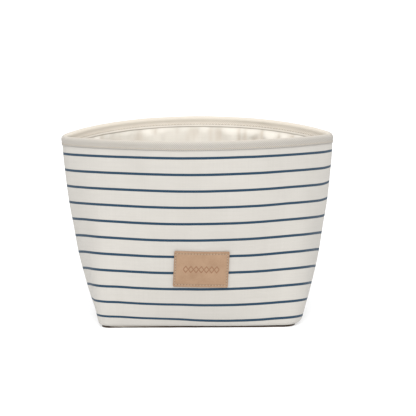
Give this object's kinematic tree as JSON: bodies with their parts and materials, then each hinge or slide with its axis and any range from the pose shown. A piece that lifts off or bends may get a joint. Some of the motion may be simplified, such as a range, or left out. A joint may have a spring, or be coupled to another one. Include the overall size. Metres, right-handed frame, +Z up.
{
  "type": "fabric storage bin",
  "caption": "Soft open-topped storage bin of striped canvas, flared from a rounded base to a lens-shaped bound rim, with a cotton lining and a small stitched leather label.",
  "frame": {"origin": "middle of the underside of the base, on the surface that the bin stands on", "axes": "+Z up, +X along the mouth from the left seam to the right seam, -Y towards the side with the label"},
  "size_m": [0.2528, 0.1478, 0.178],
  "materials": {
    "striped_canvas": "plain-weave natural canvas with fine navy stripes",
    "natural_canvas": "undyed canvas, heavier and darker than the walls",
    "lining_cotton": "smooth cream cotton",
    "interlining_felt": "needled felt",
    "binding_twill": "diagonal twill tape",
    "label_leather": "light tan leather with a fine grain",
    "label_thread": "waxed thread",
    "sewing_thread": "spun polyester thread",
    "board_card": "grey board"
  },
  "bodies": {
    "root": {"outer_front_panel": "striped_canvas", "outer_back_panel": "striped_canvas", "outer_base_panel": "natural_canvas", "front_interlining": "interlining_felt", "back_interlining": "interlining_felt", "base_board": "board_card", "lining_front_panel": "lining_cotton", "lining_back_panel": "lining_cotton", "lining_base_panel": "lining_cotton", "rim_binding": "binding_twill", "rim_needle_thread": "sewing_thread", "rim_bobbin_thread": "sewing_thread", "left_seam_thread": "sewing_thread", "right_seam_thread": "sewing_thread", "lining_left_seam_thread": "sewing_thread", "lining_right_seam_thread": "sewing_thread", "base_seam_thread": "sewing_thread", "lining_base_seam_thread": "sewing_thread", "leather_label": "label_leather", "label_thread": "label_thread"}
  },
  "joints": []
}
